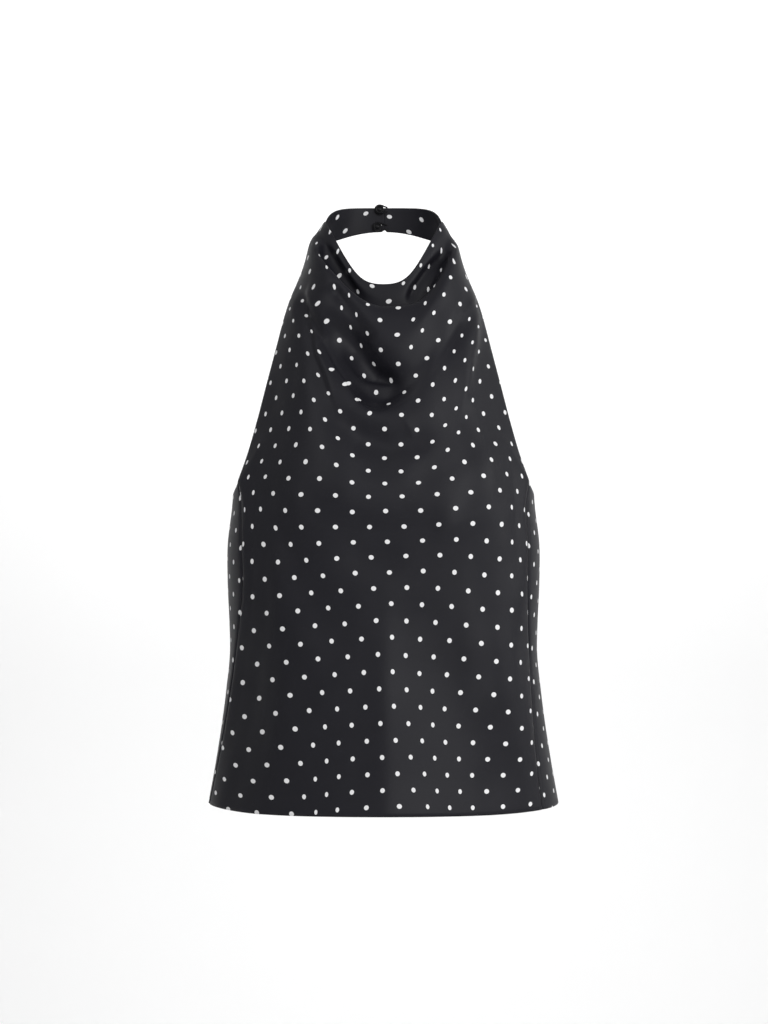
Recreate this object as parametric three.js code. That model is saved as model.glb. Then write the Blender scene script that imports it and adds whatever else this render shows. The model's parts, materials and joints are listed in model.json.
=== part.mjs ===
// Halter neck top in satin: a draped cowl front, an open back and a neck band that buttons at the nape.
// It keeps the hollow form that it has when worn. Millimetres, +Z up, the front faces -Y.
// The origin is where the neck holds the top: the middle of the neck band's inner face at the nape.
import * as THREE from 'three';

// Driving sizes
const clothWall = 1.5;
const bandWall = 2.2;
const seamGap = 0.3;
const hemZ = -609.6;
const ringMidY = -75;
const ringPowerFront = 3;
const ringPowerBack = 2.4;

// A table with named columns; at() reads every column between two rows along a smooth curve.
function table(columns, rows) {
  const column = (name) => columns.indexOf(name);
  const read = (t, name) => {
    const last = rows.length - 1;
    const here = Math.min(Math.max(Math.floor(t), 0), last - 1);
    const part = t - here;
    const k = column(name);
    const value = (row) => rows[Math.min(Math.max(row, 0), last)][k];
    const slopeIn = (value(here + 1) - value(here - 1)) / (here > 0 ? 2 : 1);
    const slopeOut = (value(here + 2) - value(here)) / (here + 1 < last ? 2 : 1);
    const step = value(here + 1) - value(here);
    const bend = 3 * step - 2 * slopeIn - slopeOut;
    const twist = slopeIn + slopeOut - 2 * step;
    return value(here) + part * (slopeIn + part * (bend + part * twist));
  };
  const rowOf = (name, wanted) => {
    const k = column(name);
    const sign = Math.sign(rows[rows.length - 1][k] - rows[0][k]);
    let row = 0;
    while (row < rows.length - 2 && sign * (wanted - rows[row + 1][k]) > 0) row += 1;
    return row + (wanted - rows[row][k]) / (rows[row + 1][k] - rows[row][k]);
  };
  return { read, rowOf, last: rows.length - 1 };
}

// The body of the top below the arms, ring by ring. seamLeft and seamRight are the angles from the
// centre front at which the side seams run, in degrees.
const rings = table(
  ['z', 'halfWidth', 'front', 'back', 'seamLeft', 'seamRight'],
  [
    [-277, 156.5, 125.0, 112, 72.0, 72.0],
    [-300, 157.0, 125.3, 113, 68.0, 68.5],
    [-342, 161.8, 125.0, 110, 63.5, 66.0],
    [-384, 161.8, 123.5, 104, 62.5, 65.5],
    [-425, 160.0, 122.0, 100, 67.5, 67.5],
    [-456, 159.6, 121.0, 99, 72.5, 69.5],
    [-488, 162.8, 121.5, 102, 74.5, 68.0],
    [-529, 168.0, 124.0, 108, 77.0, 66.0],
    [-571, 174.6, 128.0, 115, 79.5, 64.0],
    [hemZ, 181.6, 132.0, 123, 82.0, 62.8],
  ],
);

// The front panel hangs in swags. Each row is one line across it, from the neckline to the underarm:
// its place at the centre, how far its middle is tucked in, where it ends on the armhole edge, how far
// round the neck or chest it turns (degrees), how far its bottom stays level, and how softly it then
// turns up. The first rows end on the seam with the neck band.
const swags = table(
  ['dipZ', 'dipY', 'tuck', 'edgeX', 'edgeY', 'edgeZ', 'turn', 'flatLeft', 'flatRight', 'soft'],
  [
    [-76, -118, 0, 60.6, -45, -3, 101.5, 25, 25, 7],
    [-89, -124, 0, 64.0, -41, -7, 103.5, 22, 27, 7],
    [-109, -126, 0, 67.2, -36, -11, 105.6, 16, 34, 7],
    [-108, -137, 0, 70.5, -30, -16, 107.7, 14, 38, 7],
    [-102, -146, 0, 73.0, -35, -22, 105, 14, 40, 7],
    [-110, -155, 0, 76.6, -42, -31, 101, 14, 38, 8],
    [-134, -163, 0, 81.2, -53, -45, 94, 12, 30, 10],
    [-162, -166, 0, 86.8, -64, -61, 88, 10, 26, 12],
    [-184, -169, 3, 91.4, -70, -73, 84, 8, 26, 12],
    [-196.5, -172, 8, 95.8, -75, -84, 80, 8, 26, 12],
    [-203, -175, 1, 99.6, -79, -95, 77, 8, 26, 12],
    [-214, -180, -1, 103.9, -84, -110, 74, 8, 24, 15],
    [-240, -186, 0, 111.3, -92, -140, 71, 8, 16, 22],
    [-267, -190, 0, 121.2, -102, -180, 69, 8, 10, 28],
    [-285, -196, 0, 130.4, -109, -217, 69, 8, 8, 32],
    [-301, -200, 0, 139.6, -115, -250, 70, 6, 6, 38],
    [-322, -200, 0, 148.8, -121.7, -277, 72, 0, 0, 45],
  ],
);
const tuckMiddle = 6;
const tuckWide = 50;
const strapRow = 3;
const underarmRow = swags.last;

// Below the underarm the lines settle until the hem is level. dipZ and edgeZ as above.
const fall = table(
  ['dipZ', 'edgeZ'],
  [
    [-322, -277],
    [-350, -315],
    [-382, -357],
    [-418, -401],
    [-456, -445],
    [-495, -489],
    [-534, -531],
    [-573, -572],
    [hemZ, hemZ],
  ],
);
const hemRow = underarmRow + fall.last;

// The largest folds. Each follows a line of front-view points (x, z), and pushes the cloth out (a ridge)
// or in (a trough) by its depth, over its width to the left and the right, between two swag rows.
const folds = [
  { depth: -6, left: 8, right: 10, rows: [4.5, 10], line: [[-54, -74], [-46, -88], [-29, -110], [-15, -136], [-10, -160]] },
  { depth: -8, left: 14, right: 12, rows: [5.5, 10], line: [[-58, -112], [-48, -123], [-27, -143], [-10, -160], [14, -192]] },
  { depth: -6, left: 8, right: 11, rows: [5, 14], line: [[-88, -70], [-87, -84], [-86, -115], [-78, -149], [-57, -197], [-46, -228]] },
  { depth: -5, left: 7, right: 7, rows: [0, 2], line: [[60, -42], [50, -56], [30, -88], [24, -98]] },
  { depth: -6, left: 12, right: 8, rows: [5, 14], line: [[92, -86], [91, -110], [88, -146], [74, -201], [56, -232]] },
  { depth: 5, left: 13, right: 13, rows: [15, 21], line: [[-110, -316], [-107, -331], [-94, -371], [-74, -399], [-50, -436]] },
  { depth: 8, left: 24, right: 46, rows: [18, 99], line: [[4, -390], [-3, -480], [-8, -680]] },
  { depth: -7, left: 26, right: 18, rows: [17, 99], line: [[78, -400], [92, -500], [104, -680]] },
  { depth: -6, left: 26, right: 24, rows: [18, 99], line: [[-50, -430], [-72, -520], [-92, -680]] },
  { depth: -4, left: 16, right: 16, rows: [13, 17], line: [[-66, -300], [-34, -310], [0, -312], [34, -310], [66, -300]] },
];

// The back panel's soft flutes: where they run round the body (degrees), and their depth at the hem.
const backFlutes = [
  { angle: 118, wide: 11, depth: 6 },
  { angle: 146, wide: 12, depth: -6 },
  { angle: 172, wide: 14, depth: 7 },
  { angle: 201, wide: 12, depth: -6 },
  { angle: 228, wide: 13, depth: 6 },
  { angle: 252, wide: 10, depth: -4 },
];
const backTopZ = -277;
const backTopDip = 48;
const backTopCurve = 0.6;

// The side seams pull the cloth in.
const seamTrough = 5;
const seamTroughWide = 10;

// The neck band: its upper and lower edge. They run from the strap ends round the nape.
const bandEdges = {
  upper: { turn: 101.5, halfWidth: 61.8, midY: -59.7, napeY: 0.9, napeZ: 16.6, strapZ: -3, bend: 3.8, sag: 0 },
  lower: { turn: 107.7, halfWidth: 74, midY: -49.1, napeY: 2.9, napeZ: -9, strapZ: -16, bend: 2, sag: -8 },
};
const bandMeetsX = 0.8;
const bandSlit = 0.4;
const bandCorner = 3.5;

// Two buttons on the face of the band that looks forward, and a cord loop round each.
const buttons = [
  { name: 'upper', x: -4.2, z: 14.6 },
  { name: 'lower', x: -6.6, z: -3.8 },
];
const buttonRadius = 4.6;
const buttonThick = 5.4;
const loopRadius = 4.9;
const loopCord = 1.6;
const loopEndX = 4.2;
const trimGap = 0.5;

const radians = THREE.MathUtils.degToRad;
const softplus = (v) => (v > 30 ? v : Math.log1p(Math.exp(v)));
const smooth = (low, high, v) => {
  const share = Math.min(Math.max((v - low) / (high - low), 0), 1);
  return share * share * (3 - 2 * share);
};

// How far forward of the ring's middle a point at an angle from the centre front is, from 1 to -1.
function reach(angle, power) {
  const side = Math.abs(Math.sin(angle));
  return Math.sign(Math.cos(angle)) * Math.sqrt(Math.max(1 - side ** power, 0));
}

function ringPoint(degrees, z) {
  const t = rings.rowOf('z', z);
  const angle = radians(degrees);
  const power = Math.cos(angle) > 0 ? ringPowerFront : ringPowerBack;
  const depth = Math.cos(angle) > 0 ? rings.read(t, 'front') : rings.read(t, 'back');
  return new THREE.Vector3(
    rings.read(t, 'halfWidth') * Math.sin(angle),
    ringMidY - depth * reach(angle, power),
    z,
  );
}

const seamAngle = (side, z) => rings.read(rings.rowOf('z', z), side < 0 ? 'seamLeft' : 'seamRight');

// Where a line across the front panel ends, and how far round it has turned there.
function frontEdge(side, t) {
  if (t <= strapRow) {
    return { point: bandPoint(side, bandEdges.upper.turn, t / strapRow), turn: swags.read(t, 'turn') };
  }
  if (t <= underarmRow) {
    const point = new THREE.Vector3(
      side * swags.read(t, 'edgeX'),
      swags.read(t, 'edgeY'),
      swags.read(t, 'edgeZ'),
    );
    return { point, turn: swags.read(t, 'turn') };
  }
  const z = Math.max(fall.read(t - underarmRow, 'edgeZ'), hemZ);
  const turn = seamAngle(side, z);
  return { point: ringPoint(side * turn, z), turn };
}

// How far a swag has risen at a distance from the centre: level, then turning up.
function swagRise(x, flat, soft) {
  const bend = (v) => soft * softplus((v - flat) / soft);
  return bend(Math.abs(x)) + bend(-Math.abs(x)) - 2 * bend(0);
}

// A point of the front panel before its folds; s runs from -1 to 1 across it, t counts its rows.
function frontBase(s, t) {
  const side = s < 0 ? -1 : 1;
  const { point: edge, turn } = frontEdge(side, t);
  const upper = t <= underarmRow;
  const dipZ = upper ? swags.read(t, 'dipZ') : fall.read(t - underarmRow, 'dipZ');
  const dipY = upper
    ? swags.read(t, 'dipY')
    : ringMidY - rings.read(rings.rowOf('z', Math.max(dipZ, hemZ)), 'front');
  const row = Math.min(t, underarmRow);
  const flat = swags.read(row, side < 0 ? 'flatLeft' : 'flatRight');
  const soft = swags.read(row, 'soft');
  const end = radians(turn);
  const angle = Math.abs(s) * end;
  const x = (edge.x * Math.sin(angle)) / Math.sin(end);
  const back = (1 - reach(angle, ringPowerFront)) / (1 - reach(end, ringPowerFront));
  const reachX = Math.abs(edge.x) * (turn > 90 ? 1 / Math.sin(end) : 1);
  const across = angle > Math.PI / 2 ? 2 * reachX - Math.abs(x) : Math.abs(x);
  const whole = turn > 90 ? 2 * reachX - Math.abs(edge.x) : Math.abs(edge.x);
  const rise = swagRise(across, flat, soft) / swagRise(whole, flat, soft);
  const tuck = swags.read(row, 'tuck') * Math.exp(-(((x - tuckMiddle) / tuckWide) ** 2));
  return new THREE.Vector3(x, dipY + (edge.y - dipY) * back + tuck, dipZ + (edge.z - dipZ) * rise);
}

// The distance from a fold's line in the front view, the side it is on, and how far along it is.
function alongLine(line, x, z) {
  let best = { distance: Infinity, side: 1, along: 0 };
  line.slice(1).forEach(([endX, endZ], k) => {
    const [startX, startZ] = line[k];
    const runX = endX - startX;
    const runZ = endZ - startZ;
    const length2 = runX * runX + runZ * runZ;
    const raw = ((x - startX) * runX + (z - startZ) * runZ) / length2;
    const part = Math.min(Math.max(raw, 0), 1);
    const offX = x - startX - part * runX;
    const offZ = z - startZ - part * runZ;
    const distance = Math.hypot(offX, offZ);
    if (distance < best.distance) {
      const side = Math.sign(runX * offZ - runZ * offX) || 1;
      best = { distance, side, along: (k + part) / (line.length - 1) };
    }
  });
  return best;
}

function foldPush(x, z, t) {
  return folds.reduce((sum, fold) => {
    const { distance, side, along } = alongLine(fold.line, x, z);
    const wide = side > 0 ? fold.right : fold.left;
    const ends = smooth(0, 0.25, along) * (1 - 0.6 * smooth(0.8, 1, along));
    const rows = smooth(fold.rows[0] - 1, fold.rows[0] + 0.5, t) * (1 - smooth(fold.rows[1], fold.rows[1] + 2, t));
    return sum + fold.depth * Math.exp(-((distance / wide) ** 2)) * ends * rows;
  }, 0);
}

// The level direction out of the body at a side seam
function seamOutward(towards, height) {
  const side = Math.sign(towards);
  const z = Math.min(Math.max(height, hemZ), backTopZ);
  const angle = side * seamAngle(side, z);
  const along = ringPoint(angle + 0.5, z).sub(ringPoint(angle - 0.5, z));
  return new THREE.Vector3(along.y, -along.x, 0).normalize();
}

function seamPull(point, side) {
  const z = Math.min(Math.max(point.z, hemZ), backTopZ);
  const seam = ringPoint(side * seamAngle(side, z), z);
  const distance = Math.hypot(point.x - seam.x, point.y - seam.y);
  const from = 1 - smooth(backTopZ - 22, backTopZ + 4, point.z);
  const depth = seamTrough * from * Math.exp(-((distance / seamTroughWide) ** 2));
  return seamOutward(side, z).multiplyScalar(-depth);
}

// The outward normal of a surface given as a function of two parameters.
function outward(surface, u, v, limits) {
  const [uLow, uHigh, vLow, vHigh] = limits;
  const stepU = (uHigh - uLow) / 400;
  const stepV = (vHigh - vLow) / 400;
  const du = surface(Math.min(u + stepU, uHigh), v).sub(surface(Math.max(u - stepU, uLow), v));
  const dv = surface(u, Math.min(v + stepV, vHigh)).sub(surface(u, Math.max(v - stepV, vLow)));
  return dv.cross(du).normalize();
}

const frontLimits = [-1, 1, 0, hemRow];
function frontSurface(s, t) {
  const base = frontBase(s, t);
  const push = foldPush(base.x, base.z, t) * (1 - smooth(0.9, 1, Math.abs(s)) * (t < underarmRow ? 1 : 0));
  const pull = seamPull(base, s < 0 ? -1 : 1);
  return base.addScaledVector(outward(frontBase, s, t, frontLimits), push).add(pull);
}

// The back panel; s runs from 0 at the right seam to 1 at the left one, t from the top edge to the hem.
function backAngle(s, z) {
  const start = seamAngle(1, z);
  const end = 360 - seamAngle(-1, z);
  return start + (end - start) * s;
}

function backBase(s, t) {
  const rough = backAngle(s, backTopZ);
  const fromSeam = 1 - Math.abs(rough - 180) / (180 - seamAngle(1, backTopZ));
  const top = backTopZ - backTopDip * Math.max(fromSeam, 0) ** backTopCurve;
  const z = top + (hemZ - top) * t;
  return ringPoint(backAngle(s, z), z);
}

const backLimits = [0, 1, 0, 1];
function backSurface(s, t) {
  const base = backBase(s, t);
  const angle = backAngle(s, base.z);
  const clear = smooth(0, 0.08, s) * (1 - smooth(0.92, 1, s));
  const grow = 0.15 + 0.85 * t;
  const flutes = backFlutes.reduce(
    (sum, flute) => sum + flute.depth * Math.exp(-(((angle - flute.angle) / flute.wide) ** 2)),
    0,
  );
  const pull = seamPull(base, base.x < 0 ? -1 : 1);
  return base.addScaledVector(outward(backBase, s, t, backLimits), flutes * grow * clear).add(pull);
}

// The neck band; u is the angle round the neck in degrees, v runs from the upper to the lower edge.
function bandPoint(side, u, v) {
  const edge = (line) => {
    const share = (180 - u) / (180 - bandEdges.upper.turn);
    const angle = radians(180 - (180 - line.turn) * share);
    const drop = (line.strapZ - line.napeZ) * Math.max(share, 0) ** line.bend;
    const sag = line.sag * Math.sin(Math.PI * Math.min(Math.max(share, 0), 1) ** 2);
    return new THREE.Vector3(
      side * line.halfWidth * Math.sin(angle),
      line.midY - (line.napeY - line.midY) * reach(angle, ringPowerFront),
      line.napeZ + drop + sag,
    );
  };
  return edge(bandEdges.upper).lerp(edge(bandEdges.lower), v);
}

function bandInwards(side, u, v) {
  const half = (a, b) => bandPoint(side, a, b);
  return outward(half, u, v, [bandEdges.upper.turn, 180, 0, 1]).multiplyScalar(-side);
}

// A closed wall: the outer face as given, the inner face moved in along the normals, and the rims.
function wall(outer, acrossSteps, downSteps, thickness, inwards) {
  const rows = downSteps.length;
  const columns = acrossSteps.length;
  const points = [];
  for (const layer of [0, 1])
    for (const v of downSteps)
      for (const u of acrossSteps) {
        const point = outer(u, v).addScaledVector(inwards(u, v), layer * thickness);
        points.push(point.x, point.y, point.z);
      }
  const at = (layer, row, column) => (layer * rows + row) * columns + column;
  const faces = [];
  const quad = (a, b, c, d) => faces.push(a, b, c, a, c, d);
  for (let row = 0; row < rows - 1; row++)
    for (let column = 0; column < columns - 1; column++) {
      const corners = (layer) => [
        at(layer, row, column),
        at(layer, row + 1, column),
        at(layer, row + 1, column + 1),
        at(layer, row, column + 1),
      ];
      quad(...corners(0));
      quad(...corners(1).reverse());
    }
  for (let row = 0; row < rows - 1; row++) {
    quad(at(0, row, 0), at(1, row, 0), at(1, row + 1, 0), at(0, row + 1, 0));
    const end = columns - 1;
    quad(at(0, row + 1, end), at(1, row + 1, end), at(1, row, end), at(0, row, end));
  }
  for (let column = 0; column < columns - 1; column++) {
    quad(at(0, 0, column + 1), at(1, 0, column + 1), at(1, 0, column), at(0, 0, column));
    const end = rows - 1;
    quad(at(0, end, column), at(1, end, column), at(1, end, column + 1), at(0, end, column + 1));
  }
  return new THREE.BufferGeometry()
    .setAttribute('position', new THREE.Float32BufferAttribute(points, 3))
    .setIndex(faces);
}

const spread = (from, to, count) => Array.from({ length: count + 1 }, (_, k) => from + ((to - from) * k) / count);

const satin = new THREE.MeshStandardMaterial({ color: 0x1b1b1e, roughness: 0.42, metalness: 0 });
const buttonBlack = new THREE.MeshStandardMaterial({ color: 0x0a0a0b, roughness: 0.3, metalness: 0 });

function named(name, geometry, material) {
  geometry.computeVertexNormals();
  const mesh = new THREE.Mesh(geometry, material);
  mesh.name = name;
  return mesh;
}

// Both panels use the same rows below the underarm, so that their side seams match.
const seamRows = spread(underarmRow, hemRow, 14);

function frontPanel() {
  const edgeShare = 1 - seamGap / 2 / 150;
  const across = spread(-edgeShare, edgeShare, 42);
  const down = [
    ...spread(0, strapRow, 10),
    ...spread(strapRow, underarmRow, 24).slice(1),
    ...seamRows.slice(1),
  ];
  const inwards = (s, t) => {
    const rim = Math.abs(s) === edgeShare;
    if (rim && t <= strapRow) return bandInwards(Math.sign(s), bandEdges.upper.turn, t / strapRow);
    if (rim && t >= underarmRow) return seamOutward(s, frontSurface(s, t).z).negate();
    return outward(frontSurface, s, t, frontLimits).negate();
  };
  return named('front_panel', wall(frontSurface, across, down, clothWall, inwards), satin);
}

function backPanel() {
  const edgeShare = seamGap / 2 / 400;
  const across = spread(edgeShare, 1 - edgeShare, 40);
  const down = seamRows.map((t) => (frontEdge(1, t).point.z - backTopZ) / (hemZ - backTopZ));
  const inwards = (s, t) => {
    const seam = s === edgeShare || s === 1 - edgeShare;
    const side = s < 0.5 ? 1 : -1;
    const out = seam ? seamOutward(side, backSurface(s, t).z) : outward(backSurface, s, t, backLimits);
    return out.negate();
  };
  return named('back_panel', wall(backSurface, across, down, clothWall, inwards), satin);
}

function bandHalf(name, side) {
  const meet = bandMeetsX + (side * bandSlit) / 2;
  const lastAngle = 180 - side * THREE.MathUtils.radToDeg(meet / 67);
  const start = bandEdges.upper.turn + THREE.MathUtils.radToDeg(seamGap / 60);
  const surface = (u, v) => {
    const corner = Math.max(0, 1 - ((lastAngle - u) * radians(67)) / bandCorner) ** 2;
    const cut = (bandCorner / 26) * corner;
    return bandPoint(side, u, v * (1 - cut));
  };
  const inwards = (u, v) => bandInwards(side, u, v);
  const across = [...spread(start, lastAngle - 4, 14), ...spread(lastAngle - 3, lastAngle, 3)];
  if (side < 0) {
    const turned = (u, v) => surface(-u, v);
    const turnedIn = (u, v) => inwards(-u, v);
    return named(name, wall(turned, across.map((u) => -u).reverse(), spread(0, 1, 4), bandWall, turnedIn), satin);
  }
  return named(name, wall(surface, across, spread(0, 1, 4), bandWall, inwards), satin);
}

// The band's inner face at the nape, at a height
function bandFaceY(z) {
  const share = (bandEdges.upper.napeZ - z) / (bandEdges.upper.napeZ - bandEdges.lower.napeZ);
  return THREE.MathUtils.lerp(bandEdges.upper.napeY, bandEdges.lower.napeY, share) - bandWall;
}

function button({ name, x, z }) {
  const profile = spread(-90, 90, 10).map((degrees) => {
    const angle = radians(degrees);
    return new THREE.Vector2(buttonRadius * Math.cos(angle), (buttonThick / 2) * Math.sin(angle));
  });
  profile[0].x = 0;
  profile[profile.length - 1].x = 0;
  const mesh = named(`button_${name}`, new THREE.LatheGeometry(profile, 20), buttonBlack);
  mesh.position.set(x, bandFaceY(z) - trimGap - buttonThick / 2, z);
  return mesh;
}

function buttonLoop({ name, x, z }) {
  const halfTurn = spread(75, 285, 10).map((degrees) => {
    const angle = radians(degrees);
    return new THREE.Vector2(loopRadius * Math.cos(angle), loopRadius * Math.sin(angle));
  });
  const ends = [new THREE.Vector2(loopEndX - x, 2), new THREE.Vector2(loopEndX - x, -2)];
  const y = bandFaceY(z) - trimGap - loopCord / 2;
  const path = new THREE.CatmullRomCurve3(
    [ends[0], ...halfTurn, ends[1]].map((point) => new THREE.Vector3(x + point.x, y, z + point.y)),
  );
  const sides = 8;
  const section = new THREE.Shape(
    spread(0, 360, sides).slice(0, sides).map((degrees) => {
      const angle = radians(degrees);
      return new THREE.Vector2((loopCord / 2) * Math.cos(angle), (loopCord / 2) * Math.sin(angle));
    }),
  );
  const geometry = new THREE.ExtrudeGeometry(section, { steps: 26, extrudePath: path });
  return named(`loop_${name}`, geometry, satin);
}

const top = new THREE.Group();
top.add(frontPanel(), backPanel(), bandHalf('neck_band_left', -1), bandHalf('neck_band_right', 1));
for (const place of buttons) top.add(button(place), buttonLoop(place));

export default top;
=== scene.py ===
# Halter neck top in black satin with white dots: cowl front, open back and a band buttoned at the nape.
import json
import math

import bmesh
import bpy
import numpy as np
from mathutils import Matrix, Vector

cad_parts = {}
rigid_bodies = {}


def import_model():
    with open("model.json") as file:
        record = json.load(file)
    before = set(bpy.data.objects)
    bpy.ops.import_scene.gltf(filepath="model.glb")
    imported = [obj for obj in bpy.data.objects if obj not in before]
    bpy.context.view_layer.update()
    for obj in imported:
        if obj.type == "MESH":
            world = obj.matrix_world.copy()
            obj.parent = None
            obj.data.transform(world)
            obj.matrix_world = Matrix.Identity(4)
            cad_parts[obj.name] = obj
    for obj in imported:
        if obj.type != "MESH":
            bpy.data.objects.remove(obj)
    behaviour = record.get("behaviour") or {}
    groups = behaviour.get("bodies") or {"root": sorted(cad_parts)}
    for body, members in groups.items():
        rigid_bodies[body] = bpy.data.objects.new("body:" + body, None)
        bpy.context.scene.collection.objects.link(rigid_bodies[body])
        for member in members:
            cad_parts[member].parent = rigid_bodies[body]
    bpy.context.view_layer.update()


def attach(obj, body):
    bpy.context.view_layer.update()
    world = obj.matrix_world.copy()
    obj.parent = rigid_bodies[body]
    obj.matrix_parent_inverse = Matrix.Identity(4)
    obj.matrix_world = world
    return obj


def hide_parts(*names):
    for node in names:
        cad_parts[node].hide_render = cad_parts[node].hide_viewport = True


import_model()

# ---------------------------------------------------------------------------------------------------
# The studio. A level camera two and a half metres in front of the top, a pale sweep under and behind
# it, soft white light from all round, a large lamp to the right of the camera with smaller ones at the
# right side and the left, and a lamp that whitens the backdrop.
# ---------------------------------------------------------------------------------------------------
scene = bpy.context.scene
scene.view_settings.view_transform = "Standard"

lens = bpy.data.cameras.new("front_view")
lens.lens = 84.5
lens.sensor_width = 36.0
lens.clip_end = 50.0
camera = bpy.data.objects.new("front_view", lens)
camera.location = (0.0005, -2.575, -0.309)
camera.rotation_euler = (math.radians(90), 0, 0)
scene.collection.objects.link(camera)
scene.camera = camera

world = bpy.data.worlds.new("white_room")
scene.world = world
world.use_nodes = True
world.node_tree.nodes["Background"].inputs["Color"].default_value = (1.0, 1.0, 1.0, 1.0)
world.node_tree.nodes["Background"].inputs["Strength"].default_value = 0.35

sweep_half_width = 6.0
sweep_floor_z = -1.9
sweep_bend = 1.2
sweep_bend_y = 2.2
sweep = bmesh.new()
profile = [sweep.verts.new((-sweep_half_width, -5.0, sweep_floor_z))]
for turn in np.linspace(0, math.pi / 2, 13):
    along = sweep_bend_y + sweep_bend * math.sin(turn)
    up = sweep_floor_z + sweep_bend * (1 - math.cos(turn))
    profile.append(sweep.verts.new((-sweep_half_width, along, up)))
profile.append(sweep.verts.new((-sweep_half_width, sweep_bend_y + sweep_bend, 5.0)))
lines = [sweep.edges.new(pair) for pair in zip(profile, profile[1:])]
across = bmesh.ops.extrude_edge_only(sweep, edges=lines)
moved = [item for item in across["geom"] if isinstance(item, bmesh.types.BMVert)]
bmesh.ops.translate(sweep, verts=moved, vec=(2 * sweep_half_width, 0, 0))
sweep_mesh = bpy.data.meshes.new("floor_sweep")
sweep.to_mesh(sweep_mesh)
sweep.free()
floor = bpy.data.objects.new("floor_sweep", sweep_mesh)
scene.collection.objects.link(floor)
for face in sweep_mesh.polygons:
    face.use_smooth = True
paper = bpy.data.materials.new("white_paper")
paper.use_nodes = True
paper.node_tree.nodes["Principled BSDF"].inputs["Base Color"].default_value = (0.93, 0.93, 0.93, 1.0)
paper.node_tree.nodes["Principled BSDF"].inputs["Roughness"].default_value = 0.9
sweep_mesh.materials.append(paper)


def lamp(name, power, size, place, target):
    light = bpy.data.lights.new(name, "AREA")
    light.shape = "RECTANGLE"
    light.size, light.size_y = size
    light.energy = power
    holder = bpy.data.objects.new(name, light)
    holder.location = place
    aim = Vector(target) - Vector(place)
    holder.rotation_euler = aim.to_track_quat("-Z", "Y").to_euler()
    scene.collection.objects.link(holder)
    return holder


top_middle = (0.0, -0.1, -0.3)
lamp("key_right", 35.0, (1.9, 1.7), (1.32, -2.37, 0.4), top_middle)
lamp("side_right", 18.5, (1.5, 1.5), (2.6, -0.33, 0.4), top_middle)
lamp("fill_left", 12.5, (1.5, 1.5), (-1.4, -1.75, 1.2), top_middle)
wash = lamp("backdrop_wash", 35.0, (3.0, 1.0), (0.0, 1.4, 2.0), (0.0, 3.4, -0.3))
wash.data.spread = math.radians(110)

# ---------------------------------------------------------------------------------------------------
# The front panel, cut on the bias in printed satin. Spare width at the neck falls into the cowl: each
# row of the table is one line of cloth from the armhole or strap end on one side to the other.
# ---------------------------------------------------------------------------------------------------
mm = 0.001
cloth_wall = 0.0013
back_top_z = -277.0
hem_z = -609.6
ring_mid_y = -75.0
ring_power_front = 3.0
ring_power_back = 2.4


def columns(names, rows):
    """A table's columns by name."""
    return {name: np.array([row[k] for row in rows], float) for k, name in enumerate(names)}


def read(values, t):
    """A column read between its rows along a smooth curve."""
    last = len(values) - 1
    t = np.asarray(t, float)
    here = np.clip(np.floor(t).astype(int), 0, last - 1)
    spare = t.shape + (1,) * (values.ndim - 1)
    part = (t - here).reshape(spare)
    before, start = values[np.maximum(here - 1, 0)], values[here]
    end, after = values[here + 1], values[np.minimum(here + 2, last)]
    slope_in = (end - before) / np.where(here > 0, 2, 1).reshape(spare)
    slope_out = (after - start) / np.where(here + 1 < last, 2, 1).reshape(spare)
    step = end - start
    bend = 3 * step - 2 * slope_in - slope_out
    twist = slope_in + slope_out - 2 * step
    return start + part * (slope_in + part * (bend + part * twist))


def smooth(low, high, v):
    """0 below low, 1 above high and a soft step between."""
    share = np.clip((v - low) / (high - low), 0, 1)
    return share * share * (3 - 2 * share)


rings = columns(
    ["z", "half_width", "front", "back", "seam_left", "seam_right"],
    [
        [back_top_z, 156.5, 125.0, 112, 72.0, 72.0],
        [-300, 157.0, 125.3, 113, 68.0, 68.5],
        [-342, 161.8, 125.0, 110, 63.5, 66.0],
        [-384, 161.8, 123.5, 104, 62.5, 65.5],
        [-425, 160.0, 122.0, 100, 67.5, 67.5],
        [-456, 159.6, 121.0, 99, 72.5, 69.5],
        [-488, 162.8, 121.5, 102, 74.5, 68.0],
        [-529, 168.0, 124.0, 108, 77.0, 66.0],
        [-571, 174.6, 128.0, 115, 79.5, 64.0],
        [hem_z, 181.6, 132.0, 123, 82.0, 62.8],
    ],
)

swags = columns(
    ["dip_z", "dip_y", "tuck", "edge_x", "edge_y", "edge_z", "turn", "flat_left", "flat_right", "soft"],
    [
        [-76, -118, 0, 60.6, -45, -3, 101.5, 25, 25, 7],
        [-90, -120, 0, 64.0, -41, -7, 103.5, 22, 27, 7],
        [-112, -120, 0, 67.2, -36, -11, 105.6, 16, 34, 7],
        [-112, -130, 0, 70.5, -30, -16, 107.7, 14, 38, 7],
        [-101, -144, 0, 75.8, -39, -27.5, 103, 13, 42, 8],
        [-109, -155, 0, 79.0, -47, -37, 98, 13, 40, 8],
        [-134, -163, 0, 82.3, -55, -48, 93, 12, 30, 10],
        [-162, -166, 0, 86.8, -64, -61, 88, 10, 26, 12],
        [-184, -169, 6, 91.4, -70, -73, 84, 8, 26, 12],
        [-196.5, -172, 13, 95.8, -75, -84, 80, 8, 26, 12],
        [-203, -175, 1, 99.6, -79, -95, 77, 8, 26, 12],
        [-214, -180, -1, 103.9, -84, -110, 74, 8, 24, 15],
        [-240, -186, 0, 111.3, -92, -140, 71, 8, 16, 22],
        [-267, -190, 0, 121.2, -102, -180, 69, 8, 10, 28],
        [-285, -196, 0, 130.4, -109, -217, 69, 8, 8, 32],
        [-301, -200, 0, 139.6, -115, -250, 70, 6, 6, 38],
        [-322, -200, 0, 148.8, -121.7, -277, 72, 0, 0, 45],
    ],
)
tuck_middle = 2.0
tuck_left = 24.0
tuck_right = 20.0
strap_row = 3.0
underarm_row = 16.0

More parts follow.
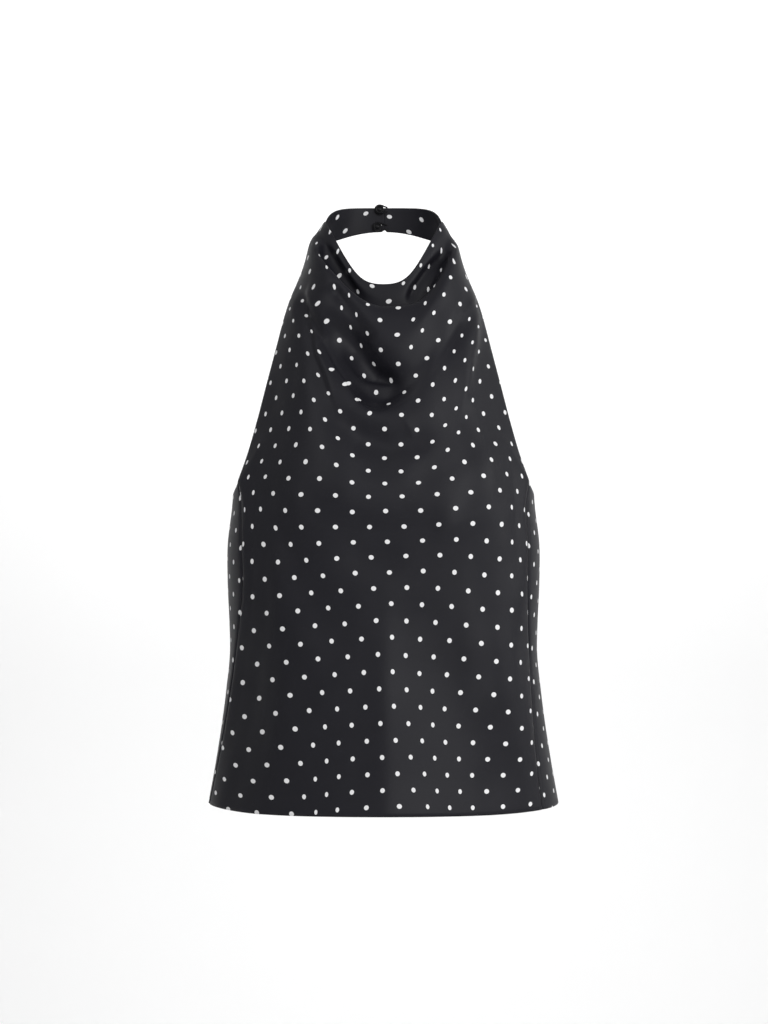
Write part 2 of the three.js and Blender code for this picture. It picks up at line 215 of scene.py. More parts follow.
fall = columns(
    ["dip_z", "edge_z"],
    [
        [-322, -277],
        [-350, -315],
        [-382, -357],
        [-418, -401],
        [-456, -445],
        [-495, -489],
        [-534, -531],
        [-573, -572],
        [hem_z, hem_z],
    ],
)
hem_row = 24.0

# Each fold follows a line of front-view points (x, z). It lifts the cloth (a ridge) or sinks it (a
# trough) by its depth, over its width on each side, between two rows of cloth. Over the shares of its
# line in "ends" it rises from nothing and dies away again.
folds = [
    {"depth": -8, "left": 9, "right": 7, "rows": (1.6, 3.2), "ends": (0.2, 0.4),
     "line": [(-66, -34), (-58, -46), (-45, -63), (-33, -76), (-21, -88), (-4, -97)]},
    {"depth": -8, "left": 13, "right": 8, "rows": (4.5, 14), "ends": (0.3, 0),
     "line": [(-54, -74), (-46, -88), (-29, -110), (-17, -132)]},
    {"depth": -25, "left": 20, "right": 16, "rows": (5.5, 15), "ends": (0.5, 0.2),
     "line": [(-84, -104), (-58, -118), (-38, -136), (-21, -155), (-5, -177), (13, -201)]},
    {"depth": -5, "left": 13, "right": 4.5, "rows": (4, 15), "ends": (0.3, 0.4),
     "line": [(-74, -64), (-84, -83), (-84, -115), (-76, -149), (-66, -170), (-55, -197), (-44, -238)]},
    {"depth": -5, "left": 4, "right": 5, "rows": (0.4, 2.5), "ends": (0.25, 0.2),
     "line": [(66, -38), (60, -46), (45, -62), (32, -80), (24, -98)]},
    {"depth": 4, "left": 18, "right": 6.5, "rows": (5, 15), "ends": (0.4, 0.4),
     "line": [(94, -86), (94, -104), (92, -137), (86, -162), (76, -201), (60, -242)]},
    {"depth": -6, "left": 15, "right": 15, "rows": (9, 18), "ends": (0.3, 0.3),
     "line": [(-66, -186), (-46, -214), (-22, -234), (4, -242), (30, -236), (58, -206)]},
    {"depth": 3, "left": 22, "right": 62, "rows": (17, 99), "ends": (0.4, 0),
     "line": [(16, -350), (12, -440), (9, -520), (6, -680)]},
]

# The soft hang of the cloth below the cowl: how far it swells (or sinks, if negative) in millimetres, from
# one side seam to the other. Each line is one row of cloth, from just above the bust down to the hem.
hang_first_row = 9
hang = np.array(
    [
        [0, 2.3, -4.1, -8.4, -5.3, -3.6, 0, 4.4, 5.7, 3.5, 2.4, 1.8, -1.6, -4.4, -2.1, 1.5, 0],
        [0, 2.1, -1.3, -5.9, -5.5, -4.1, -1.6, -0.6, -0.9, -0.2, 1.5, 1.2, -0.8, -2.5, -3.4, -1, 0],
        [0, -0.9, -1.7, -3.9, -5.1, -4.2, -2.3, -0.3, 0.3, 0.7, 0.6, 0.2, -1, 0.2, -0.9, -1.1, 0],
        [0, -2.9, -5.3, -3.4, -3.1, -1.6, -0.8, -0.7, 0.9, 2.2, 1.4, 0.7, -0.3, 1, -2, -2.3, 0],
        [0, -4.3, -4.7, -3.7, -1.5, 0.4, 1.3, 0.7, 1.6, 2.9, 2.2, 1.5, 1.5, -0.2, -3.7, -3.4, 0],
        [0, -4.7, -6.3, -4.2, -1.5, 1.6, 2.8, 2.1, 2.1, 1.6, 0.8, 2.2, 3.5, 2, -2.2, -3.1, 0],
        [0, -3.4, -5.1, -3.3, -0.7, 1.7, 2.5, 1.4, 1, 0.9, 2.2, 4.7, 6.7, 5.9, 1.2, -0.6, 0],
        [0, -1.8, -4.3, -2.1, 1.1, 0.2, -1.6, -2.6, -2.4, -1.1, 1.5, 6.2, 6, 4.7, 1.5, 0.5, 0],
        [0, -2.2, -3.7, -3.7, -2, -1.4, -2.8, -4.1, -3.1, -0.8, 0.1, 1.2, 1.4, 0.2, -0.5, -1.7, 0],
        [0, -1.6, -1.7, 0.1, -2.5, -2, -0.8, 0.1, 0, -1.3, -2.3, -2.1, -0.4, -0.9, -1.2, -1.3, 0],
        [0, -2.6, -2.9, 0.3, 0.3, -1, 0.1, 1.8, 0.7, -3.5, -5.1, -3.3, 0.1, 1.2, 1.6, 1.7, 0],
        [0, -4.8, -5.7, -2.2, 2.1, 4.6, 3.4, 3.6, 2.9, -2.4, -4.9, -3.6, 1.5, 5.2, 4.5, 1.2, 0],
        [0, -6.4, -8.7, -4.6, 1.2, 2.5, 3.9, 4.5, 5.6, 0.2, -3.4, -4.3, -0.3, 4, 4.7, 2.2, 0],
        [0, -6.4, -9.2, -6.8, -0.5, 1.6, 2.7, 4.7, 5.2, 1, -2.5, -4.7, -4.6, -2.8, 0.6, 2.3, 0],
        [0, -4.3, -8.9, -8, -3.9, -1.1, 1.2, 3.3, 4.3, 1.2, -2.3, -4.7, -6.5, -8, -5.6, -1, 0],
        [0, -2.5, -6.6, -6.4, -3.6, -3.1, -0.9, 4, 6, 3, -1, -4.2, -5.7, -7.5, -7.3, -4.2, 0],
    ],
    float,
)

band_edges = {
    "upper": {"turn": 101.5, "half_width": 61.8, "mid_y": -59.7, "nape_y": 0.9, "nape_z": 16.6,
              "strap_z": -3, "bend": 3.8, "sag": 0},
    "lower": {"turn": 107.7, "half_width": 74, "mid_y": -49.1, "nape_y": 2.9, "nape_z": -9,
              "strap_z": -16, "bend": 2, "sag": -8},
}


def reach(angle, power):
    """How far forward of the ring's middle a point is, from 1 to -1."""
    side = np.abs(np.sin(angle))
    return np.sign(np.cos(angle)) * np.sqrt(np.maximum(1 - side**power, 0))


def ring_point(degrees, z):
    """A point of the body's ring at a height, at an angle from straight ahead."""
    t = np.interp(-z, -rings["z"], np.arange(len(rings["z"])))
    angle = np.radians(degrees)
    ahead = np.cos(angle) > 0
    depth = np.where(ahead, read(rings["front"], t), read(rings["back"], t))
    forward = np.where(ahead, reach(angle, ring_power_front), reach(angle, ring_power_back))
    return np.stack([read(rings["half_width"], t) * np.sin(angle), ring_mid_y - depth * forward, z], -1)


def seam_angle(side, z):
    """Where the side seam lies at a height, as an angle from straight ahead."""
    t = np.interp(-z, -rings["z"], np.arange(len(rings["z"])))
    return np.where(side < 0, read(rings["seam_left"], t), read(rings["seam_right"], t))


def band_point(side, u, v):
    """The neck band: u is the angle round the neck, v runs from its upper to its lower edge."""
    ends = []
    for line in (band_edges["upper"], band_edges["lower"]):
        past = (180 - u) / (180 - band_edges["upper"]["turn"])
        share = np.clip(past, 0, 1)
        angle = np.radians(180 - (180 - line["turn"]) * np.minimum(past, 1))
        drop = (line["strap_z"] - line["nape_z"]) * share ** line["bend"]
        sag = line["sag"] * np.sin(np.pi * share**2)
        y = line["mid_y"] - (line["nape_y"] - line["mid_y"]) * reach(angle, ring_power_front)
        x = side * line["half_width"] * np.sin(angle)
        ends.append(np.stack([x, y, line["nape_z"] + drop + sag], -1))
    v = np.asarray(v)[..., None]
    return ends[0] * (1 - v) + ends[1] * v


def swag_rise(x, flat, soft):
    """How a row of cloth rises from its lowest point: flat in the middle and then straight up each side."""

    def bend(v):
        return soft * np.logaddexp(0, (v - flat) / soft)

    return bend(np.abs(x)) + bend(-np.abs(x)) - 2 * bend(0)


def front_base(s, t):
    """The front panel before its folds; s runs from -1 to 1 across it, t counts its rows."""
    side = np.where(s < 0, -1.0, 1.0)
    low = np.clip(t - underarm_row, 0, hem_row - underarm_row)
    row = np.minimum(t, underarm_row)
    upper = t <= underarm_row
    strap = t <= strap_row
    edge_z = np.where(upper, read(swags["edge_z"], row), np.maximum(read(fall["edge_z"], low), hem_z))
    turn = np.where(upper, read(swags["turn"], row), seam_angle(side, np.minimum(edge_z, back_top_z)))
    on_ring = ring_point(side * turn, np.minimum(edge_z, back_top_z))
    on_arm = np.stack([side * read(swags["edge_x"], row), read(swags["edge_y"], row), edge_z], -1)
    strap_turn = np.full_like(t, band_edges["upper"]["turn"])
    on_band = band_point(side, strap_turn, np.minimum(t, strap_row) / strap_row)
    edge = np.where(strap[..., None], on_band, np.where(upper[..., None], on_arm, on_ring))
    dip_z = np.where(upper, read(swags["dip_z"], row), np.maximum(read(fall["dip_z"], low), hem_z))
    ring_row = np.interp(-dip_z, -rings["z"], np.arange(len(rings["z"])))
    dip_y = np.where(upper, read(swags["dip_y"], row), ring_mid_y - read(rings["front"], ring_row))
    flat = np.where(side < 0, read(swags["flat_left"], row), read(swags["flat_right"], row))
    soft = read(swags["soft"], row)
    end = np.radians(turn)
    angle = np.abs(s) * end
    x = edge[..., 0] * np.sin(angle) / np.sin(end)
    back = (1 - reach(angle, ring_power_front)) / (1 - reach(end, ring_power_front))
    past = turn > 90
    half = np.abs(edge[..., 0]) * np.where(past, 1 / np.sin(end), 1)
    across = np.where(angle > math.pi / 2, 2 * half - np.abs(x), np.abs(x))
    whole = np.where(past, 2 * half - np.abs(edge[..., 0]), np.abs(edge[..., 0]))
    rise = swag_rise(across, flat, soft) / swag_rise(whole, flat, soft)
    tuck_wide = np.where(x < tuck_middle, tuck_left, tuck_right)
    tuck = read(swags["tuck"], row) * np.exp(-(((x - tuck_middle) / tuck_wide) ** 2))
    y = dip_y + (edge[..., 1] - dip_y) * back + tuck
    return np.stack([x, y, dip_z + (edge[..., 2] - dip_z) * rise], -1)


def outward(points):
    """Unit normals of a grid of points, rows going down and columns going to the viewer's right."""
    down = np.gradient(points, axis=0)
    right = np.gradient(points, axis=1)
    normal = np.cross(down, right)
    return normal / np.maximum(np.linalg.norm(normal, axis=-1, keepdims=True), 1e-9)


def fold_push(points, t, list_of_folds):
    """How far the folds lift each point of a grid of cloth out, or in where it is negative."""
    total = np.zeros(points.shape[:-1])
    x, z = points[..., 0], points[..., 2]
    for fold in list_of_folds:
        best = np.full(x.shape, np.inf)
        side = np.ones(x.shape)
        along = np.zeros(x.shape)
        line = fold["line"]
        for k, (start, end) in enumerate(zip(line, line[1:])):
            run = (end[0] - start[0], end[1] - start[1])
            length2 = run[0] ** 2 + run[1] ** 2
            part = np.clip(((x - start[0]) * run[0] + (z - start[1]) * run[1]) / length2, 0, 1)
            off_x = x - start[0] - part * run[0]
            off_z = z - start[1] - part * run[1]
            distance = np.hypot(off_x, off_z)
            nearer = distance < best
            best = np.where(nearer, distance, best)
            side = np.where(nearer, np.sign(run[0] * off_z - run[1] * off_x), side)
            along = np.where(nearer, (k + part) / (len(line) - 1), along)
        wide = np.where(side > 0, fold["right"], fold["left"])
        rising, dying = fold["ends"]
        ends = smooth(0, rising, along) * (1 - smooth(1 - dying, 1, along) if dying else 1)
        low, high = fold["rows"]
        rows = smooth(low - 1, low + 0.5, t) * (1 - smooth(high, high + 2, t))
        total += fold["depth"] * np.exp(-((best / wide) ** 2)) * ends * rows
    return total


seam_trough = 1.1
seam_trough_wide = 2.6


def seam_pull(points, side):
    """The side seams draw the cloth in."""
    z = np.clip(points[..., 2], hem_z, back_top_z)
    angle = side * seam_angle(side, z)
    seam = ring_point(angle, z)
    run = ring_point(angle + 0.5, z) - ring_point(angle - 0.5, z)
    out = np.stack([run[..., 1], -run[..., 0], np.zeros_like(z)], -1)
    out /= np.linalg.norm(out, axis=-1, keepdims=True)
    distance = np.hypot(points[..., 0] - seam[..., 0], points[..., 1] - seam[..., 1])
    start = 1 - smooth(back_top_z - 22, back_top_z + 4, points[..., 2])
    depth = seam_trough * start * np.exp(-((distance / seam_trough_wide) ** 2))
    return -out * depth[..., None]


def hang_at(s, t):
    """The hang table read at each point of a grid of cloth, and faded in at its first row."""
    down = read(hang, np.clip(t[:, 0] - hang_first_row, 0, len(hang) - 1))
    across = read(down.T, (s[0] + 1) / 2 * (hang.shape[1] - 1)).T
    return across * smooth(hang_first_row - 1.4, hang_first_row + 0.6, t)


def front_points(s, t):
    """The rows above and below the underarm are eased into each other, and then the folds are laid in."""
    near = np.clip(1 - np.abs(t - underarm_row) / 5, 0, 1) * (1 - smooth(0.85, 1, np.abs(s)))
    base = sum(front_base(s, t + shift * near) for shift in np.linspace(-2.4, 2.4, 9)) / 9
    edge = 1 - smooth(0.9, 1, np.abs(s)) * (t < underarm_row)
    push = fold_push(base, t, folds) * edge + hang_at(s, t)
    side = np.where(s < 0, -1.0, 1.0)
    return base + outward(base) * push[..., None] + seam_pull(base, side)


def sheet_mesh(name, points, chart):
    """A grid of cloth: its points in millimetres, and each point's place on the flat cloth in metres."""
    rows, wide = points.shape[:2]
    cloth = bmesh.new()
    bmesh.ops.create_grid(cloth, x_segments=wide - 1, y_segments=rows - 1, size=1.0)
    flat = cloth.loops.layers.uv.new("cloth")
    for vert in cloth.verts:
        column = round((vert.co.x + 1) / 2 * (wide - 1))
        row = round((1 - vert.co.y) / 2 * (rows - 1))
        vert.index = row * wide + column
        vert.co = Vector(points[row, column]) * mm
    cloth.verts.sort()
    for face in cloth.faces:
        face.smooth = True
        for loop in face.loops:
            loop[flat].uv = chart[divmod(loop.vert.index, wide)]
    mesh = bpy.data.meshes.new(name)
    cloth.to_mesh(mesh)
    cloth.free()
    return mesh


def flatten(points, finer_rows, finer_columns):
    """Lays a coarse grid of cloth out flat, in metres, and reads the finer grid's places off it."""
    rows, wide = points.shape[:2]
    mesh = sheet_mesh("paper_pattern", points, np.zeros((rows, wide, 2)))
    pattern = bpy.data.objects.new("paper_pattern", mesh)
    scene.collection.objects.link(pattern)
    bpy.context.view_layer.objects.active = pattern
    pattern.select_set(True)
    bpy.ops.object.mode_set(mode="EDIT")
    bpy.ops.mesh.select_all(action="SELECT")
    bpy.ops.uv.unwrap(method="MINIMUM_STRETCH", iterations=12, margin=0)
    bpy.ops.object.mode_set(mode="OBJECT")
    chart = np.zeros((rows * wide, 2))
    for loop, place in zip(mesh.loops, mesh.uv_layers["cloth"].data):
        chart[loop.vertex_index] = place.uv
    chart = chart.reshape(rows, wide, 2)
    bpy.data.objects.remove(pattern)
    bpy.data.meshes.remove(mesh)
    span = np.cross(chart[1:, 1:] - chart[:-1, :-1], chart[1:, :-1] - chart[:-1, 1:])
    solid = np.cross(points[1:, 1:] - points[:-1, :-1], points[1:, :-1] - points[:-1, 1:])
    chart *= math.sqrt(np.linalg.norm(solid, axis=-1).sum() / np.abs(span).sum()) * mm
    down = chart[-1, wide // 2] - chart[2 * rows // 3, wide // 2]
    turn = math.atan2(-down[0], -down[1])
    spin = np.array([[math.cos(turn), math.sin(turn)], [-math.sin(turn), math.cos(turn)]])
    chart = (chart - chart[2 * rows // 3, wide // 2]) @ spin
    by_row = read(chart, finer_rows)
    return read(by_row.swapaxes(0, 1), finer_columns).swapaxes(0, 1)


seam_share = 0.001
front_down = 72
front_across = 48
coarse_s, coarse_t = np.meshgrid(
    np.linspace(-1 + seam_share, 1 - seam_share, front_across + 1), np.linspace(0, hem_row, front_down + 1)
)
underarm_down = 48
fine_rows = np.concatenate(
    [np.linspace(0, underarm_down, 161)[:-1], np.linspace(underarm_down, front_down, 72)]
)
fine_columns = np.linspace(0, front_across, 181)
front_chart = flatten(front_points(coarse_s, coarse_t), fine_rows, fine_columns)

# The printed cloth lies a little off its flat pattern where it is eased into the cowl. Each pair is that
# shift in millimetres, across and up, from the neckline to the hem and from side to side.
print_shift = np.array(
    [
        [(-27, -33), (-21, -29), (-14, -23), (-6, -13), (1, 0), (2, 10), (-4, 13),
         (-10, 13), (-7, 6), (2, -6), (11, -18), (20, -27), (28, -32)],
        [(-31, -31), (-24, -27), (-18, -21), (-9, -12), (-1, -1), (1, 7), (-2, 10),
         (-6, 8), (-5, 3), (0, -10), (12, -20), (22, -24), (29, -28)],
        [(-34, -28), (-28, -24), (-21, -19), (-12, -11), (-4, -1), (2, 7), (2, 11),
         (-1, 9), (0, 3), (6, -8), (16, -15), (22, -19), (26, -24)],
        [(-34, -25), (-31, -20), (-26, -15), (-18, -9), (-6, -1), (6, 8), (8, 13),
         (4, 13), (4, 8), (12, 0), (20, -7), (22, -14), (22, -21)],
        [(-32, -22), (-30, -17), (-28, -11), (-22, -7), (-9, 1), (10, 9), (11, 13),
         (6, 15), (9, 13), (16, 7), (22, 0), (18, -9), (15, -18)],
        [(-27, -23), (-25, -14), (-23, -6), (-16, -2), (-5, 4), (7, 8), (10, 10),
         (10, 12), (16, 11), (17, 7), (15, 0), (11, -8), (7, -15)],
        [(-21, -25), (-17, -14), (-12, -4), (-5, 1), (-1, 5), (2, 4), (8, 8),
         (9, 12), (13, 10), (15, 5), (11, -1), (5, -7), (1, -10)],
        [(-14, -28), (-8, -17), (-3, -4), (0, 5), (3, 7), (7, 5), (9, 6),
         (8, 12), (10, 10), (13, 6), (13, 1), (8, -4), (-3, -9)],
        [(-10, -30), (-3, -23), (0, -11), (4, 6), (9, 9), (12, 8), (12, 7),
         (10, 10), (9, 9), (13, 6), (20, 1), (18, -10), (4, -15)],
        [(-8, -30), (-3, -23), (3, -16), (8, -5), (12, 4), (14, 6), (14, 6),
         (13, 7), (13, 9), (18, 6), (25, -8), (22, -19), (14, -22)],
        [(-4, -28), (1, -20), (5, -14), (11, -9), (13, -3), (14, 2), (14, 2),
         (14, 4), (14, 1), (18, -6), (27, -10), (24, -18), (16, -24)],
        [(-3, -23), (7, -17), (14, -11), (15, -7), (14, -5), (14, -3), (14, -4),
         (13, -4), (12, -5), (14, -6), (15, -10), (14, -16), (20, -21)],
        [(4, -19), (23, -15), (22, -10), (19, -7), (16, -6), (14, -5), (13, -6),
         (11, -6), (10, -8), (8, -9), (4, -11), (1, -14), (17, -15)],
        [(11, -12), (18, -10), (14, -6), (14, -6), (15, -6), (13, -8), (11, -8),
         (9, -10), (8, -10), (8, -9), (5, -8), (2, -9), (14, -9)],
        [(20, -4), (17, -3), (12, -3), (8, -4), (8, -6), (9, -7), (8, -10),
         (9, -9), (11, -8), (11, -6), (9, -5), (5, -5), (6, -3)],
        [(31, 3), (22, 2), (13, 0), (5, -1), (2, -4), (4, -6), (6, -8),
         (11, -6), (14, -5), (14, -3), (11, -1), (5, 0), (1, 1)],
        [(35, 9), (24, 8), (11, 5), (0, 2), (-5, -1), (0, -3), (4, -5),
         (9, -4), (18, -2), (18, -1), (15, 1), (9, 3), (4, 2)],
        [(27, 11), (16, 11), (4, 9), (-8, 6), (-13, 3), (-3, -1), (1, -3),
         (5, -3), (16, -1), (21, 0), (18, 1), (14, 2), (11, 1)],
        [(15, 10), (2, 8), (-9, 7), (-17, 7), (-21, 5), (-2, 0), (1, -3),
         (0, -3), (13, -1), (23, 0), (20, 0), (19, -1), (18, -2)],
    ],
    float,
)
rows_down, places_across = print_shift.shape[:2]
shift = read(print_shift, fine_rows / front_down * (rows_down - 1))
shift = read(shift.swapaxes(0, 1), fine_columns / front_across * (places_across - 1)).swapaxes(0, 1)
front_chart += shift * mm

fine_s, fine_t = np.meshgrid(
    np.interp(fine_columns, [0, front_across], [-1 + seam_share, 1 - seam_share]),
    fine_rows * hem_row / front_down,
)
front_mesh = sheet_mesh("front", front_points(fine_s, fine_t), front_chart)
front = bpy.data.objects.new("front", front_mesh)
scene.collection.objects.link(front)


class Socket:
    """One output of a material's nodes. Sums on it add Math nodes, and node() adds any other kind."""

    def __init__(self, tree, link=None):
        self.tree = tree
        self.link = link

    def node(self, kind, settings, values, output=0):
        """Makes a node's settings first and then fills its sockets in order or by name."""
        made = self.tree.nodes.new(kind)
        for key, value in settings.items():
            setattr(made, key, value)
        pairs = values.items() if isinstance(values, dict) else enumerate(values)
        for key, value in pairs:
            if isinstance(value, Socket):
                self.tree.links.new(value.link, made.inputs[key])
            else:
                made.inputs[key].default_value = value
        return Socket(self.tree, made.outputs[output])

    def math(self, operation, *others):
        return self.node("ShaderNodeMath", {"operation": operation}, [self, *others])

    def __add__(self, other):
        return self.math("ADD", other)

    def __sub__(self, other):
        return self.math("SUBTRACT", other)

    def __rsub__(self, other):
        return self.node("ShaderNodeMath", {"operation": "SUBTRACT"}, [other, self])

    def __mul__(self, other):
        return self.math("MULTIPLY", other)

    def __truediv__(self, other):
        return self.math("DIVIDE", other)

    def __pow__(self, other):
        return self.math("POWER", other)

    __radd__ = __add__
    __rmul__ = __mul__


def mixed(share, first, second):
    """A colour between two others."""
    return share.node("ShaderNodeMix", {"data_type": "RGBA"}, {0: share, 6: first, 7: second}, 2)


def surface(name, build):
    """A material whose colour, roughness and height are made by nodes, with the gloss that build states."""
    material = bpy.data.materials.new(name)
    material.use_nodes = True
    tree = material.node_tree
    shader = tree.nodes["Principled BSDF"]
    colour, rough, height, strength, gloss = build(Socket(tree))
    bump = height.node("ShaderNodeBump", {}, {"Strength": strength, "Distance": 1.0, "Height": height})
    tree.links.new(colour.link, shader.inputs["Base Color"])
    tree.links.new(rough.link, shader.inputs["Roughness"])
    tree.links.new(bump.link, shader.inputs["Normal"])
    shader.inputs["Specular IOR Level"].default_value = gloss
    return material


dot_pitch = 0.032
dot_radius = 0.00245


def dotted_satin(wrong_side):
    """Black satin with a regular print of white dots; the wrong side is duller and shows them faintly."""
    pale = 0.16 if wrong_side else 0.92
    dull = 0.58 if wrong_side else 0.44
    gloss = 0.12 if wrong_side else 0.2

    def build(nodes):
        place = nodes.node("ShaderNodeUVMap", {"uv_map": "cloth"}, [])
        u = nodes.node("ShaderNodeSeparateXYZ", {}, [place], 0)
        v = nodes.node("ShaderNodeSeparateXYZ", {}, [place], 1)

        def off_centre(shift):
            across = (u / dot_pitch + shift).math("FRACT") - 0.5
            along = (v / dot_pitch + shift).math("FRACT") - 0.5
            return (across * across + along * along).math("SQRT") * dot_pitch

        distance = off_centre(0.5).math("MINIMUM", off_centre(0.0))
        dot = nodes.node("ShaderNodeMapRange", {"interpolation_type": "SMOOTHSTEP"},
                         [distance, dot_radius + 0.0001, dot_radius - 0.00025, 0.0, 1.0])
        cloudy = nodes.node("ShaderNodeTexNoise", {}, {"Vector": place, "Scale": 38.0, "Detail": 3.0})
        threads = nodes.node("ShaderNodeTexNoise", {}, {"Vector": place, "Scale": 900.0, "Detail": 2.0})
        dark = mixed(cloudy, (0.0116, 0.0114, 0.0154, 1), (0.0144, 0.0142, 0.019, 1))
        white = mixed(threads, (pale, pale, pale, 1), (0.9 * pale, 0.9 * pale, 0.92 * pale, 1))
        rough = dull + cloudy * 0.08 + dot * 0.1
        return mixed(dot, dark, white), rough, threads * 0.00006 + dot * 0.00003, 0.5, gloss

    return build


satin = surface("dotted_satin", dotted_satin(False))
satin_inside = surface("dotted_satin_inside", dotted_satin(True))


def give_thickness(piece, thickness):
    """Doubles a sheet inwards, with the wrong side of the satin within."""
    piece.data.materials.append(satin)
    piece.data.materials.append(satin_inside)
    wall = piece.modifiers.new("wall", "SOLIDIFY")
    wall.thickness = thickness
    wall.offset = -1.0
    wall.use_rim = True
    wall.material_offset = 1
    wall.material_offset_rim = 0


give_thickness(front, cloth_wall)
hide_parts("front_panel")
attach(front, "root")

# ---------------------------------------------------------------------------------------------------
# The back panel, from underarm to hem, with a plain turned top edge and a few soft flutes. It is the
# same printed satin, seamed to the front at both sides.
# ---------------------------------------------------------------------------------------------------
back_top_dip = 48.0
back_top_curve = 0.6
back_flutes = columns(
    ["angle", "wide", "depth"],
    [
        [118, 11, 6],
        [146, 12, -6],
        [172, 14, 7],
        [201, 12, -6],
        [228, 13, 6],
        [252, 10, -4],
    ],
)


def back_points(s, t):
    """s runs from 0 at the right seam to 1 at the left one, t from the top edge to the hem."""

    def angle_at(z):
        start = seam_angle(1.0, z)
        return start + (360 - seam_angle(-1.0, z) - start) * s

    top_start = rings["seam_right"][0]
    from_seam = 1 - np.abs(angle_at(np.full_like(s, back_top_z)) - 180) / (180 - top_start)
    top = back_top_z - back_top_dip * np.maximum(from_seam, 0) ** back_top_curve
    z = top + (hem_z - top) * t
    angle = angle_at(z)
    base = ring_point(angle, z)
    clear = smooth(0, 0.08, s) * (1 - smooth(0.92, 1, s))
    flutes = sum(
        depth * np.exp(-(((angle - middle) / wide) ** 2))
        for middle, wide, depth in zip(back_flutes["angle"], back_flutes["wide"], back_flutes["depth"])
    )
    push = flutes * (0.15 + 0.85 * t) * clear
    side = np.where(base[..., 0] < 0, -1.0, 1.0)
    return base + outward(base) * push[..., None] + seam_pull(base, side)


back_share = 0.0004
back_down = 24
back_across = 40
back_coarse = np.meshgrid(
    np.linspace(back_share, 1 - back_share, back_across + 1), np.linspace(0, 1, back_down + 1)
)
back_rows = np.linspace(0, back_down, 121)
back_columns = np.linspace(0, back_across, 193)
back_chart = flatten(back_points(*back_coarse), back_rows, back_columns)
back_fine = np.meshgrid(
    np.interp(back_columns, [0, back_across], [back_share, 1 - back_share]), back_rows / back_down
)
back = bpy.data.objects.new("back", sheet_mesh("back", back_points(*back_fine), back_chart))
scene.collection.objects.link(back)
give_thickness(back, cloth_wall)
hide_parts("back_panel")
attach(back, "root")

# ---------------------------------------------------------------------------------------------------
# The neck band: two folded strips of the same satin, from the strap ends to the nape, where they meet
# edge to edge.
# ---------------------------------------------------------------------------------------------------
band_wall = 2.2
band_width = 26
band_round = 67
band_meets_x = 0.8
band_slit = -0.1
band_dot_pitch = (37.5, 27.5)
band_corner = 3.5


def band_half(name, side, node, first_dot, top_dot, lean):
    """One half. Its top row of dots is top_dot below the upper edge and starts first_dot from the nape end;
    the row under it lies further from the nape by lean."""
    rows, wide = 25, 81
    meet = band_meets_x + side * band_slit / 2
    last_angle = 180 - side * math.degrees(meet / band_round)
    first_angle = band_edges["upper"]["turn"] + math.degrees(0.3 / 60)
    u, v = np.meshgrid(np.linspace(first_angle, last_angle, wide), np.linspace(0, 1, rows))
    corner = np.maximum(0, 1 - np.radians(last_angle - u) * band_round / band_corner) ** 2
    points = band_point(side, u, v * (1 - band_corner / band_width * corner))
    step = np.linalg.norm(np.diff(points[rows // 2, ::-1], axis=0), axis=-1)
    along = np.concatenate([[0], np.cumsum(step)])[::-1] + abs(meet)
    below = v * band_width - top_dot
    leaning = lean * below / (band_dot_pitch[1] / 2)
    flat_along = (along - first_dot - leaning) / band_dot_pitch[0] * dot_pitch * side
    flat_down = below / band_dot_pitch[1] * dot_pitch
    chart = np.stack([flat_along, -flat_down], -1)
    if side < 0:
        points, chart = points[:, ::-1], chart[:, ::-1]
    piece = bpy.data.objects.new(name, sheet_mesh(name, points, chart))
    scene.collection.objects.link(piece)
    give_thickness(piece, band_wall * mm)
    piece.modifiers["wall"].material_offset = 0
    rounded = piece.modifiers.new("rounded", "BEVEL")
    rounded.width = 0.001
    rounded.segments = 3
    rounded.limit_method = "ANGLE"
    rounded.angle_limit = math.radians(50)
    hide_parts(node)
    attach(piece, "root")


band_half("band_left", -1.0, "neck_band_left", 22.0, 5.5, 3.6)
band_half("band_right", 1.0, "neck_band_right", 7.0, 9.3, 1.5)

# ---------------------------------------------------------------------------------------------------
# Two small black buttons on the left half of the band, moulded from glossy resin: a domed middle in a
# raised rim. Each sits just in front of the band, sewn on from behind.
# ---------------------------------------------------------------------------------------------------
button_rim = [(0, 0), (3.2, 0), (4.1, 0.4), (4.5, 1.2), (4.6, 2.3), (4.45, 3.4), (4.05, 4.1), (3.55, 4.25),
              (3.15, 3.9), (2.95, 3.35), (2.7, 3.25), (2.3, 3.6), (1.5, 4.15), (0.7, 4.4), (0, 4.45)]
button_places = {"upper": (-4.2, 14.6), "lower": (-6.6, -3.8)}
button_gap = 0.5


def moulded_resin(nodes):
    place = nodes.node("ShaderNodeTexCoord", {}, [], 3)
    marbled = nodes.node("ShaderNodeTexNoise", {}, {"Vector": place, "Scale": 420.0, "Detail": 4.0})
    worn = nodes.node("ShaderNodeTexNoise", {}, {"Vector": place, "Scale": 2600.0, "Detail": 2.0})
    colour = mixed(marbled, (0.003, 0.003, 0.004, 1), (0.009, 0.009, 0.011, 1))
    rough = marbled * 0.14 + worn * 0.08 + 0.26
    return colour, rough, marbled * 0.00004 + worn * 0.00001, 0.35, 0.22


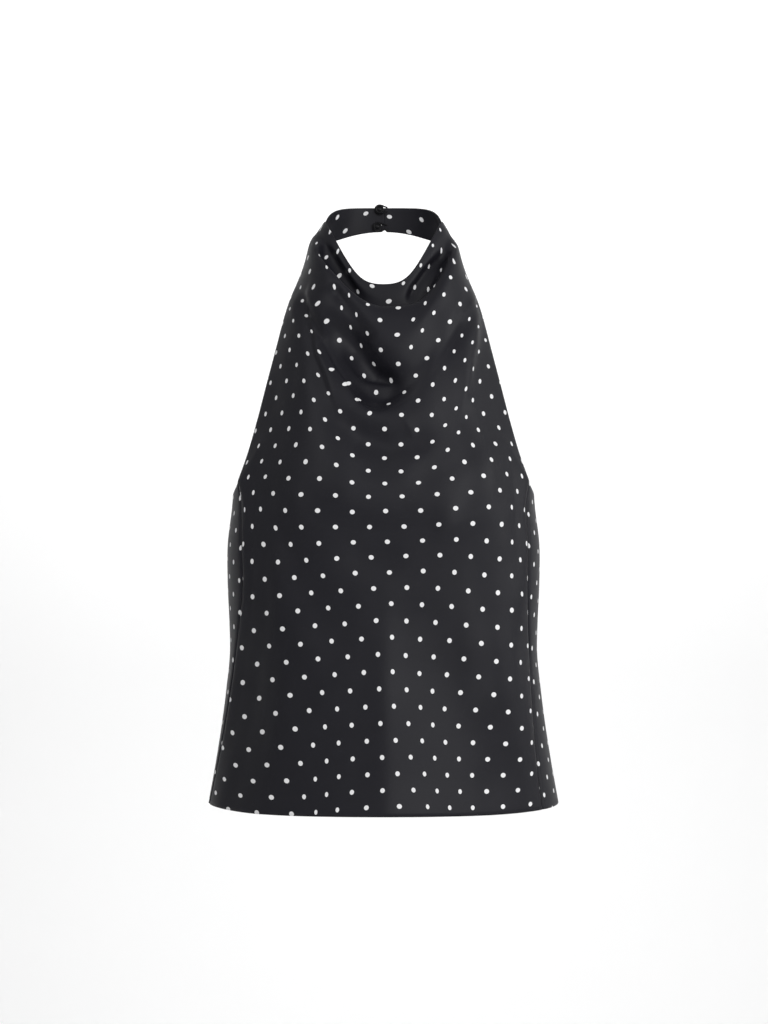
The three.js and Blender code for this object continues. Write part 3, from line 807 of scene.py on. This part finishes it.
resin = surface("black_resin", moulded_resin)
upper_line, lower_line = band_edges["upper"], band_edges["lower"]
for name, (x, z) in button_places.items():
    down_share = (upper_line["nape_z"] - z) / (upper_line["nape_z"] - lower_line["nape_z"])
    nape_y = np.interp(down_share, [0, 1], [upper_line["nape_y"], lower_line["nape_y"]])
    front_of_band = Vector((x, nape_y - band_wall - button_gap, z)) * mm
    turned = bmesh.new()
    corners = [turned.verts.new((radius * mm, -height * mm, 0)) for radius, height in button_rim]
    outline = [turned.edges.new(pair) for pair in zip(corners, corners[1:])]
    bmesh.ops.spin(turned, geom=corners + outline, cent=(0, 0, 0), axis=(0, 1, 0), angle=2 * math.pi,
                   steps=40, use_merge=True)
    bmesh.ops.remove_doubles(turned, verts=turned.verts, dist=1e-6)
    bmesh.ops.recalc_face_normals(turned, faces=turned.faces)
    bmesh.ops.translate(turned, verts=turned.verts, vec=front_of_band)
    for face in turned.faces:
        face.smooth = True
    button_mesh = bpy.data.meshes.new("button_" + name)
    turned.to_mesh(button_mesh)
    turned.free()
    button_mesh.materials.append(resin)
    button = bpy.data.objects.new("button_" + name + "_turned", button_mesh)
    scene.collection.objects.link(button)
    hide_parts("button_" + name)
    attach(button, "root")

# ---------------------------------------------------------------------------------------------------
# Two loops of fine twisted black cord, each round its button, their ends sewn to the right half of the
# band. The shapes are the part's own. The twist of the cord is in its material, as a bump and as painted
# shade: its colour is darker in the grooves of the twist.
# ---------------------------------------------------------------------------------------------------


def twisted_cord_with_groove_shade(nodes):
    place = nodes.node("ShaderNodeTexCoord", {}, [], 3)
    twist = nodes.node("ShaderNodeTexWave", {"wave_type": "BANDS", "bands_direction": "DIAGONAL"},
                       {"Vector": place, "Scale": 420.0, "Distortion": 1.5, "Detail": 1.0})
    fibre = nodes.node("ShaderNodeTexNoise", {}, {"Vector": place, "Scale": 3500.0, "Detail": 3.0})
    # Painted shade: the colour follows the twist's bands, darker in its grooves and lighter on its strands.
    colour = mixed(twist * 0.7 + fibre * 0.3, (0.003, 0.003, 0.004, 1), (0.016, 0.016, 0.019, 1))
    return colour, fibre * 0.2 + 0.42, twist * 0.0001 + fibre * 0.00003, 0.6, 0.2


cord = surface("black_cord_groove_shade", twisted_cord_with_groove_shade)
for name in ("loop_upper", "loop_lower"):
    for slot in bpy.data.objects[name].material_slots:
        slot.material = cord
